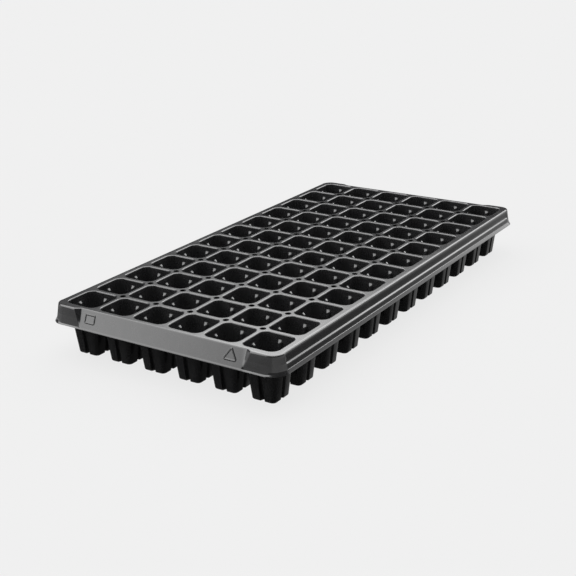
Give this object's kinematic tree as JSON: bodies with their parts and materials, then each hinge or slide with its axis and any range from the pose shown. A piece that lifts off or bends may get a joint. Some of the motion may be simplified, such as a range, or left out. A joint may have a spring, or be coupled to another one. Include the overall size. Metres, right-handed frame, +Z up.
{
  "type": "plug tray",
  "caption": "Rectangular seedling plug tray with a grid of tapered square cups under a pierced deck and a flared stiffening skirt.",
  "frame": {"origin": "on the ground, below the middle of the tray", "axes": "+Z up from the cup floors to the deck, +Y along the tray from the front end panel to the back one, +X to the right across the tray"},
  "size_m": [0.2752, 0.5408, 0.055],
  "materials": {
    "black_sheet": "semi-gloss vacuum-formed black polystyrene sheet, faintly mottled, with rounded pale-catching edges"
  },
  "bodies": {
    "root": {"cell_row_01": "black_sheet", "cell_row_02": "black_sheet", "cell_row_03": "black_sheet", "cell_row_04": "black_sheet", "cell_row_05": "black_sheet", "cell_row_06": "black_sheet", "cell_row_07": "black_sheet", "cell_row_08": "black_sheet", "cell_row_09": "black_sheet", "cell_row_10": "black_sheet", "cell_row_11": "black_sheet", "cell_row_12": "black_sheet", "end_panel_front": "black_sheet", "end_panel_back": "black_sheet", "side_rail_right": "black_sheet", "side_rail_left": "black_sheet", "corner_front_right": "black_sheet", "corner_front_left": "black_sheet", "corner_back_right": "black_sheet", "corner_back_left": "black_sheet"}
  },
  "joints": []
}
